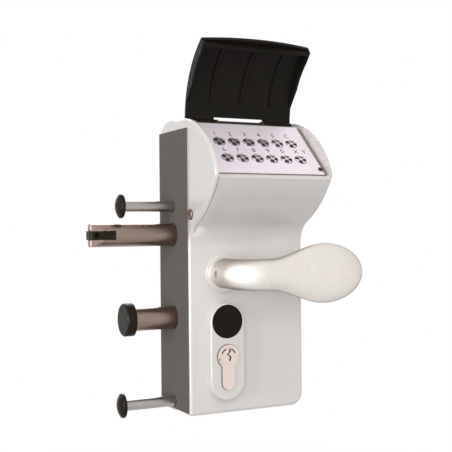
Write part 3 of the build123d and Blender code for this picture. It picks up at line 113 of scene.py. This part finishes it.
class Look:
    """A procedural material, built up in steps."""

    def __init__(self, name, colour, roughness, metallic=0.0, **sockets):
        self.material = bpy.data.materials.new(name)
        self.material.use_nodes = True
        self.tree = self.material.node_tree
        self.shader = self.tree.nodes["Principled BSDF"]
        self.shader.inputs["Base Color"].default_value = colour
        self.shader.inputs["Roughness"].default_value = roughness
        self.shader.inputs["Metallic"].default_value = metallic
        for socket, value in sockets.items():
            self.shader.inputs[socket.replace("_", " ")].default_value = value
        self.place = self.node("ShaderNodeTexCoord").outputs["Object"]

    def node(self, kind, **settings):
        made = self.tree.nodes.new(kind)
        for key, value in settings.items():
            setattr(made, key, value)
        return made

    def link(self, source, target):
        self.tree.links.new(source, target)

    def noise(self, cell, detail=2.0):
        """Noise whose cells measure cell along X, Y and Z, in metres."""
        mapping = self.node("ShaderNodeMapping")
        mapping.inputs["Scale"].default_value = tuple(1 / size for size in cell)
        self.link(self.place, mapping.inputs["Vector"])
        noise = self.node("ShaderNodeTexNoise")
        noise.inputs["Scale"].default_value = 1.0
        noise.inputs["Detail"].default_value = detail
        self.link(mapping.outputs["Vector"], noise.inputs["Vector"])
        return noise.outputs["Fac"]

    def between(self, source, low, high, from_low=NOISE_LOW, from_high=NOISE_HIGH):
        """A number that runs from low to high while the source runs from from_low to from_high."""
        ramp = self.node("ShaderNodeMapRange")
        ramp.inputs["From Min"].default_value = from_low
        ramp.inputs["From Max"].default_value = from_high
        ramp.inputs["To Min"].default_value = low
        ramp.inputs["To Max"].default_value = high
        self.link(source, ramp.inputs["Value"])
        return ramp.outputs["Result"]

    def blend(self, share, first, second):
        """Colour that goes from first to second with share; each is a colour or a socket."""
        mix = self.node("ShaderNodeMix", data_type="RGBA")
        self.link(share, mix.inputs["Factor"])
        for socket, value in ((mix.inputs["A"], first), (mix.inputs["B"], second)):
            if isinstance(value, tuple):
                socket.default_value = value
            else:
                self.link(value, socket)
        return mix.outputs["Result"]

    def colour(self, source):
        self.link(source, self.shader.inputs["Base Color"])

    def roughness(self, source):
        self.link(source, self.shader.inputs["Roughness"])

    def bump(self, source, height):
        """Relief of that height, in metres."""
        bump = self.node("ShaderNodeBump")
        bump.inputs["Distance"].default_value = height
        bump.inputs["Strength"].default_value = 1.0
        self.link(source, bump.inputs["Height"])
        self.link(bump.outputs["Normal"], self.shader.inputs["Normal"])

    def math(self, operation, first, second=0.0):
        """One step of arithmetic; the first is a socket, the second a number or a socket."""
        step = self.node("ShaderNodeMath", operation=operation)
        self.link(first, step.inputs[0])
        if isinstance(second, float):
            step.inputs[1].default_value = second
        else:
            self.link(second, step.inputs[1])
        return step.outputs["Value"]

    def distance_along(self, direction, offset=0.0):
        """How far a point lies along a direction, less an offset."""
        dot = self.node("ShaderNodeVectorMath", operation="DOT_PRODUCT")
        self.link(self.place, dot.inputs[0])
        dot.inputs[1].default_value = direction
        return self.math("SUBTRACT", dot.outputs["Value"], offset)

    def edge(self, sharpness):
        """1 where the surface turns away from the eye, 0 where it faces it."""
        weight = self.node("ShaderNodeLayerWeight")
        weight.inputs["Blend"].default_value = 0.5
        return self.math("POWER", weight.outputs["Facing"], sharpness)


def even(size):
    """A cell of the same size along X, Y and Z."""
    return size, size, size


def powder_coat():
    """Silver grey powder coat with a clear gloss and a faint orange peel."""
    look = Look(
        "powder_coat", srgb(214, 211, 206), 0.34,
        Specular_IOR_Level=0.4, Coat_Weight=1.0, Coat_Roughness=0.2, Coat_IOR=1.65,
    )
    cloud = look.noise(even(45 * MM))
    look.colour(look.blend(cloud, srgb(210, 206, 202), srgb(217, 214, 210)))
    look.roughness(look.between(look.noise(even(20 * MM)), 0.33, 0.36))
    look.bump(look.noise(even(0.9 * MM)), 0.004 * MM)
    return look


def zinc():
    """Zinc plated steel, cloudy from one crystal to the next."""
    look = Look("zinc_plate", srgb(186, 188, 192), 0.38, 1.0)
    cloud = look.noise(even(9 * MM), 3.0)
    look.colour(look.blend(cloud, srgb(168, 170, 175), srgb(200, 202, 206)))
    look.roughness(look.between(look.noise(even(4 * MM)), 0.3, 0.46))
    look.bump(look.noise(even(0.6 * MM)), 0.008 * MM)
    return look


def rubber():
    """Grey rubber with a fine matt grain."""
    look = Look("rubber", srgb(100, 94, 90), 0.78, Specular_IOR_Level=0.15)
    look.colour(look.blend(look.noise(even(3 * MM)), srgb(96, 90, 86), srgb(106, 100, 96)))
    look.bump(look.noise(even(0.4 * MM), 4.0), 0.05 * MM)
    return look


def brushed(name, colour, roughness, cell, depth=0.006 * MM, metallic=1.0, spread=0.08, shade=0.9):
    """Metal with fine lines; cell gives how long they are on each axis.

    Between the lines the colour falls to a share of itself, shade, and the roughness varies by spread.
    """
    look = Look(name, colour, roughness, metallic)
    lines = look.noise(cell, 3.0)
    darker = tuple(shade * level for level in colour[:3]) + (1.0,)
    look.colour(look.blend(look.between(lines, 0.0, 1.0), darker, colour))
    look.roughness(look.between(lines, roughness - spread, roughness + spread))
    look.bump(lines, depth)
    return look


def key_metal(plate_level):
    """Bright keys; painted shade darkens their recessed lobes and their sides."""
    look = Look("key_metal", srgb(226, 219, 223), 0.3, 0.9)
    # painted shade: below the top of the keys, lobes and sides turn dark
    depth = look.distance_along(PLATE_OUT, plate_level)
    sunk_shade = look.between(depth, 1.0, 0.0, *KEY_SHADE_DEPTHS)
    cloud = look.noise(even(1.2 * MM))
    top = look.blend(cloud, srgb(214, 206, 210), srgb(236, 230, 233))
    look.colour(look.blend(sunk_shade, top, srgb(112, 99, 104)))
    look.roughness(look.between(cloud, 0.25, 0.4))
    look.bump(look.noise(even(0.3 * MM)), 0.006 * MM)
    return look


def plate_metal(foot, top, side):
    """Pinkish stainless plate, brushed along the rows; a grey band of painted shade stands in for a bend
    along its right side, a dark line of painted shade lies next to the cheek, and its foot's end face is
    dark below its top skin.
    """
    look = brushed(
        "plate_stainless", srgb(250, 239, 246), 0.5, (25 * MM, 0.25 * MM, 0.25 * MM), metallic=0.4
    )
    face = look.shader.inputs["Base Color"].links[0].from_socket
    across = look.distance_along(X_AXIS, side)
    # painted shade: a grey band along the right side stands in for a bend
    bend_shade = look.between(across, 0.0, 1.0, -PLATE_BEND_SHADE - PLATE_BEND_SHADE_BLUR, -PLATE_BEND_SHADE)
    face = look.blend(bend_shade, face, srgb(170, 160, 157))
    # painted shade: a dark line at the right side, next to the cheek
    gap_shade = look.between(across, 0.0, 1.0, *(-inset for inset in PLATE_GAP_SHADE))
    # the foot's end face is painted dark, except its top skin
    foot_band = look.between(look.distance_along(PLATE_UP, foot), 1.0, 0.0, *PLATE_FOOT)
    below = look.distance_along(PLATE_OUT, top)
    under = look.between(below, 1.0, 0.0, *(-depth for depth in PLATE_SKIN))
    # the painted shade at the right side and the dark foot band share one colour
    gap_shade_and_foot_band = look.math("MAXIMUM", gap_shade, look.math("MULTIPLY", foot_band, under))
    look.colour(look.blend(gap_shade_and_foot_band, face, srgb(96, 82, 82)))
    return look


def satin_lever():
    """Satin aluminium with a faint grain, and a painted grey shade where it turns away, standing in for
    darker surroundings that it reflects there.
    """
    look = Look("satin_lever", srgb(228, 221, 215), 0.48, 1.0, Specular_Tint=LEVER_GLOSS)
    cloud = look.noise(even(16 * MM))
    face = look.blend(cloud, srgb(234, 227, 222), srgb(244, 240, 236))
    grain = look.between(look.noise(LEVER_GRAIN, 3.0), 0.0, 1.0)
    face = look.blend(grain, face, srgb(230, 223, 218))
    # painted shade: grey at the lever's outline, for darker surroundings reflected there
    look.colour(look.blend(look.edge(LEVER_SHADE_EDGE), face, srgb(158, 150, 145)))
    look.roughness(look.between(grain, 0.45, 0.51))
    look.bump(look.noise(even(0.5 * MM)), 0.004 * MM)
    return look


def cylinder_metal(name, node):
    """Pinkish nickel; painted shade darkens the key slot and all that lies from just under the end faces
    to a few millimetres in.
    """
    look = Look(name, srgb(229, 213, 204), 0.34, 0.6)
    end = max(abs(v.co.y) for v in frame["nodes"][node].data.vertices)
    reach = look.math("ABSOLUTE", look.distance_along(Y_AXIS))
    # painted shade: dark from just under the end faces to a few millimetres in
    sunk_shade = look.between(reach, 1.0, 0.0, *(end - inset for inset in CYLINDER_SHADE_TOP))
    near = look.between(reach, 0.0, 1.0, *(end - inset for inset in CYLINDER_SHADE_BOTTOM))
    cloud = look.noise(even(1.6 * MM), 3.0)
    face = look.blend(cloud, srgb(216, 198, 189), srgb(238, 225, 217))
    look.colour(look.blend(look.math("MULTIPLY", sunk_shade, near), face, srgb(34, 20, 18)))
    look.roughness(look.between(cloud, 0.28, 0.42))
    look.bump(look.noise(even(0.3 * MM)), 0.006 * MM)
    return look


def moulded(name, colour, lighter, roughness, cell=0.5 * MM, depth=0.015 * MM, **sockets):
    """Plastic with a fine moulded grain."""
    look = Look(name, colour, roughness, **sockets)
    look.colour(look.blend(look.noise(even(14 * MM)), colour, lighter))
    look.roughness(look.between(look.noise(even(5 * MM)), roughness - 0.05, roughness + 0.07))
    look.bump(look.noise(even(cell), 3.0), depth)
    return look


def plate_reach(direction, pick):
    """How far the keypad plate reaches along one of its own directions."""
    return pick(v.co.dot(direction) for v in frame["nodes"]["keypad_plate"].data.vertices)


def make_looks():
    """The material of each slot in the record."""
    lines_round_x = (0.2 * MM, 40 * MM, 40 * MM)
    lines_round_y = (40 * MM, 0.2 * MM, 40 * MM)
    return {
        "cover_coat": powder_coat(),
        "case_zinc": zinc(),
        "gasket_rubber": rubber(),
        "plate_stainless": plate_metal(
            plate_reach(PLATE_UP, min), plate_reach(PLATE_OUT, max), plate_reach(X_AXIS, max)
        ),
        "key_metal": key_metal(plate_reach(PLATE_OUT, max)),
        "chassis_plastic": moulded("chassis_plastic", srgb(30, 30, 30), srgb(40, 40, 40), 0.6),
        "spring_steel": brushed("spring_steel", srgb(190, 190, 190), 0.25, lines_round_x),
        "screw_steel": brushed("screw_steel", srgb(178, 174, 170), 0.3, even(0.4 * MM)),
        "lid_plastic": moulded(
            "lid_plastic", srgb(20, 17, 14), srgb(27, 24, 20), 0.42,
            cell=0.7 * MM, depth=0.004 * MM, Specular_IOR_Level=0.1,
        ),
        "bracket_brown": moulded(
            "bracket_brown", srgb(64, 51, 45), srgb(80, 66, 59), 0.7, Specular_IOR_Level=0.03
        ),
        "handle_aluminium": satin_lever(),
        "bush_steel": brushed("bush_steel", srgb(226, 223, 219), 0.3, lines_round_y, metallic=0.5),
        "spindle_steel": brushed("spindle_steel", srgb(160, 160, 163), 0.35, lines_round_y),
        "latch_steel": brushed(
            "latch_steel", srgb(150, 131, 121), 0.3, even(2.5 * MM),
            depth=0.0001 * MM, spread=0.03, shade=0.94,
        ),
        "insert_black": moulded(
            "insert_black", srgb(34, 28, 23), srgb(42, 35, 29), 0.36, Specular_IOR_Level=0.06
        ),
        "guide_plastic": moulded("guide_plastic", srgb(44, 44, 44), srgb(54, 54, 54), 0.5),
        "cylinder_nickel": cylinder_metal("cylinder_nickel", "cylinder_body"),
        "cap_black": moulded(
            "cap_black", srgb(32, 26, 21), srgb(40, 33, 27), 0.24, Specular_IOR_Level=0.06
        ),
        "plug_black": moulded(
            "plug_black", srgb(18, 14, 12), srgb(26, 20, 17), 0.5, Specular_IOR_Level=0.1
        ),
    }


def paint_nodes(looks):
    """Each solid part takes its slot's material, or one of its own."""
    own = {
        "cylinder_plug_front": cylinder_metal("plug_metal_front", "cylinder_plug_front"),
        "cylinder_plug_rear": cylinder_metal("plug_metal_rear", "cylinder_plug_rear"),
        "plate_screw": brushed("screw_dark", srgb(104, 90, 95), 0.34, even(0.4 * MM)),
        "side_screws": brushed("screw_bronze", srgb(132, 110, 100), 0.34, even(0.4 * MM)),
    }
    for entry in frame["record"]["subparts"]:
        node = frame["nodes"][entry["node"]]
        look = own.get(entry["node"], looks[entry["material_slot"]])
        node.data.materials.clear()
        node.data.materials.append(look.material)


def new_piece(name, mesh, look, body):
    """Adds a piece to the dressed model, on its body and in its slot."""
    piece = bpy.data.objects.new(name, mesh)
    bpy.context.scene.collection.objects.link(piece)
    mesh.materials.append(look.material)
    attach(piece, body)


def plate_matrix(across, up, out):
    """Places a mark on the plate: at across, up its slope from the foot, and out of its face."""
    foot = plate_reach(PLATE_UP, min)
    face = plate_reach(PLATE_OUT, max)
    origin = X_AXIS * across + PLATE_UP * (foot + up) + PLATE_OUT * (face + out)
    matrix = Matrix((X_AXIS, PLATE_UP, PLATE_OUT)).transposed().to_4x4()
    matrix.translation = origin
    return matrix


def mark_mesh(character):
    """One printed character, as a thin mesh."""
    curve = bpy.data.curves.new("mark", "FONT")
    curve.body = character
    curve.align_x = "CENTER"
    curve.align_y = "CENTER"
    curve.size = MARK_SIZE
    curve.extrude = MARK_HEIGHT / 2
    holder = bpy.data.objects.new("mark", curve)
    bpy.context.scene.collection.objects.link(holder)
    bpy.context.view_layer.update()
    evaluated = holder.evaluated_get(bpy.context.evaluated_depsgraph_get())
    mesh = bpy.data.meshes.new_from_object(evaluated)
    bpy.data.objects.remove(holder)
    return mesh


def keypad_marks():
    """The characters above the keys, in one piece."""
    look = moulded("mark_ink", srgb(66, 56, 61), srgb(76, 66, 70), 0.5)
    joined = bmesh.new()
    for up, row in MARK_ROWS:
        for character, across in row:
            mesh = mark_mesh(character)
            mesh.transform(plate_matrix(across * MM, up * MM, MARK_HEIGHT / 2))
            joined.from_mesh(mesh)
            bpy.data.meshes.remove(mesh)
    mesh = bpy.data.meshes.new("keypad_marks")
    joined.to_mesh(mesh)
    joined.free()
    new_piece("keypad_marks", mesh, look, "lock_body")


def make_camera():
    """The camera at the photograph's angle."""
    flat = Vector((math.sin(CAMERA_TURN), math.cos(CAMERA_TURN), 0))
    forward = flat * math.cos(CAMERA_PITCH) + Vector((0, 0, -math.sin(CAMERA_PITCH)))
    level = Vector((math.cos(CAMERA_TURN), -math.sin(CAMERA_TURN), 0))
    above = level.cross(forward)
    right = level * math.cos(CAMERA_ROLL) + above * math.sin(CAMERA_ROLL)
    up = above * math.cos(CAMERA_ROLL) - level * math.sin(CAMERA_ROLL)
    matrix = Matrix((right, up, -forward)).transposed().to_4x4()
    matrix.translation = CAMERA_PLACE
    data = bpy.data.cameras.new("camera")
    data.lens = CAMERA_LENS
    data.sensor_width = CAMERA_SENSOR
    data.clip_start = CAMERA_NEAR
    camera = bpy.data.objects.new("camera", data)
    camera.matrix_world = matrix
    bpy.context.scene.collection.objects.link(camera)
    bpy.context.scene.camera = camera


def make_lamps():
    """Soft boxes, each lighting only the kinds of surface that it is meant for."""
    for name, place, aim, width, height, watts, matt, glossy in LAMPS:
        data = bpy.data.lights.new(name, "AREA")
        data.shape = "RECTANGLE"
        data.size = width
        data.size_y = height
        data.energy = watts
        lamp = bpy.data.objects.new(name, data)
        lamp.location = place
        lamp.visible_diffuse = matt
        lamp.visible_glossy = glossy
        lamp.rotation_mode = "QUATERNION"
        lamp.rotation_quaternion = (Vector(aim) - Vector(place)).to_track_quat("-Z", "Y")
        bpy.context.scene.collection.objects.link(lamp)


def seen_directly(tree):
    """1 for rays from the camera, from gloss and through glass, else 0."""
    path = tree.nodes.new("ShaderNodeLightPath")
    total = path.outputs["Is Camera Ray"]
    for name in ("Is Glossy Ray", "Is Transmission Ray"):
        more = tree.nodes.new("ShaderNodeMath")
        more.operation = "MAXIMUM"
        tree.links.new(total, more.inputs[0])
        tree.links.new(path.outputs[name], more.inputs[1])
        total = more.outputs[0]
    return total


def make_world():
    """White where it is seen, dimmer as the light that falls on the lock."""
    world = bpy.data.worlds.new("studio")
    bpy.context.scene.world = world
    world.use_nodes = True
    tree = world.node_tree
    background = tree.nodes["Background"]
    background.inputs["Color"].default_value = (1, 1, 1, 1)
    strength = tree.nodes.new("ShaderNodeMapRange")
    strength.inputs["To Min"].default_value = AMBIENT
    strength.inputs["To Max"].default_value = 1.0
    tree.links.new(seen_directly(tree), strength.inputs["Value"])
    tree.links.new(strength.outputs["Result"], background.inputs["Strength"])


def floor_white():
    """Pale and matt near the lock; further out it shows as white as the backdrop."""
    look = Look("floor_white", FLOOR_SEEN, 0.9, Specular_IOR_Level=0.0)
    seen = seen_directly(look.tree)
    look.colour(look.blend(seen, FLOOR_BOUNCE, FLOOR_SEEN))
    distance = look.node("ShaderNodeVectorMath", operation="LENGTH")
    look.link(look.place, distance.inputs[0])
    away = look.between(distance.outputs["Value"], 0.0, 1.0, FLOOR_NEAR, FLOOR_FAR)
    mix = look.node("ShaderNodeMixShader")
    look.link(look.math("MULTIPLY", away, seen), mix.inputs["Fac"])
    look.link(look.shader.outputs["BSDF"], mix.inputs[1])
    look.link(look.node("ShaderNodeEmission").outputs["Emission"], mix.inputs[2])
    look.link(mix.outputs["Shader"], look.tree.nodes["Material Output"].inputs["Surface"])
    return look


def make_floor():
    """Plain pale floor that takes the lock's shadow."""
    bpy.ops.mesh.primitive_plane_add(size=FLOOR_SIZE, location=(0, 0, FLOOR_Z))
    floor = bpy.context.object
    floor.name = "floor"
    floor.data.materials.append(floor_white().material)


paint_nodes(make_looks())
keypad_marks()
make_camera()
make_lamps()
make_world()
make_floor()
bpy.context.scene.view_settings.view_transform = "Standard"
